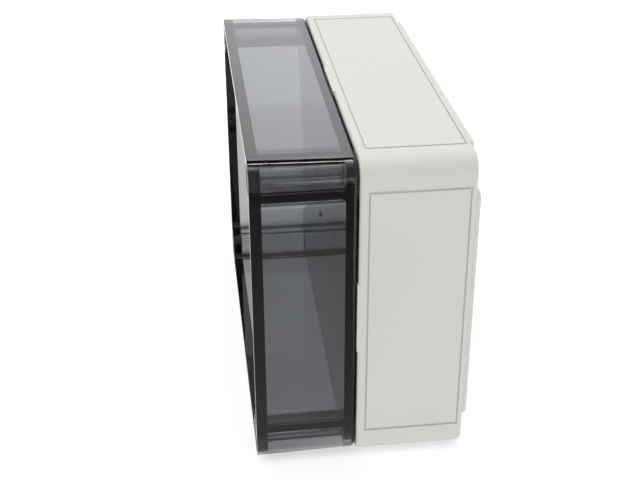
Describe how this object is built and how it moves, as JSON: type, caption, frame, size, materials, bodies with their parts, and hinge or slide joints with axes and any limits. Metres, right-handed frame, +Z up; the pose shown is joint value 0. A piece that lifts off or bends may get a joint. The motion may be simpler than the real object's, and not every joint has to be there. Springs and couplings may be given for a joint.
{
  "type": "plastic enclosure",
  "caption": "Plastic wall enclosure: a light grey base with outlined side panels, closed by a smoked transparent lid whose walls stand forward round a deep open recess, with black seals.",
  "frame": {"origin": "middle of the closed case's footprint, on the surface that it stands on", "axes": "+X to the right seen from the front, +Y from the lid's front to the back, +Z up"},
  "size_m": [0.18, 0.085, 0.13],
  "materials": {
    "grey_plastic": "fine satin, moulded",
    "smoked_plastic": "polished, transparent, smoked grey",
    "black_foam": "soft foam",
    "screw_plastic": "satin, black",
    "cap_plastic": "fine satin, soft"
  },
  "bodies": {
    "base": {"base": "grey_plastic", "gasket": "black_foam"},
    "lid": {"lid": "smoked_plastic", "edge_seal": "black_foam"},
    "screw_top_left": {"screw_top_left": "screw_plastic"},
    "cap_top_left": {"cap_top_left": "cap_plastic"},
    "screw_top_right": {"screw_top_right": "screw_plastic"},
    "cap_top_right": {"cap_top_right": "cap_plastic"},
    "screw_bottom_left": {"screw_bottom_left": "screw_plastic"},
    "cap_bottom_left": {"cap_bottom_left": "cap_plastic"},
    "screw_bottom_right": {"screw_bottom_right": "screw_plastic"},
    "cap_bottom_right": {"cap_bottom_right": "cap_plastic"}
  },
  "joints": [
    {"name": "lid_lift", "type": "slide", "parent": "base", "child": "lid", "axis": [0, -1, 0], "range_m": [0, 0.1]},
    {"name": "cap_pull_top_left", "type": "slide", "parent": "lid", "child": "cap_top_left", "axis": [0, -1, 0], "range_m": [0, 0.02]},
    {"name": "screw_turn_top_left", "type": "hinge", "parent": "lid", "child": "screw_top_left", "pos_m": [-0.08255, -0.008, 0.12255], "axis": [0, -1, 0], "continuous": true},
    {"name": "cap_pull_top_right", "type": "slide", "parent": "lid", "child": "cap_top_right", "axis": [0, -1, 0], "range_m": [0, 0.02]},
    {"name": "screw_turn_top_right", "type": "hinge", "parent": "lid", "child": "screw_top_right", "pos_m": [0.08255, -0.008, 0.12255], "axis": [0, -1, 0], "continuous": true},
    {"name": "cap_pull_bottom_left", "type": "slide", "parent": "lid", "child": "cap_bottom_left", "axis": [0, -1, 0], "range_m": [0, 0.02]},
    {"name": "screw_turn_bottom_left", "type": "hinge", "parent": "lid", "child": "screw_bottom_left", "pos_m": [-0.08255, -0.008, 0.00745], "axis": [0, -1, 0], "continuous": true},
    {"name": "cap_pull_bottom_right", "type": "slide", "parent": "lid", "child": "cap_bottom_right", "axis": [0, -1, 0], "range_m": [0, 0.02]},
    {"name": "screw_turn_bottom_right", "type": "hinge", "parent": "lid", "child": "screw_bottom_right", "pos_m": [0.08255, -0.008, 0.00745], "axis": [0, -1, 0], "continuous": true}
  ]
}
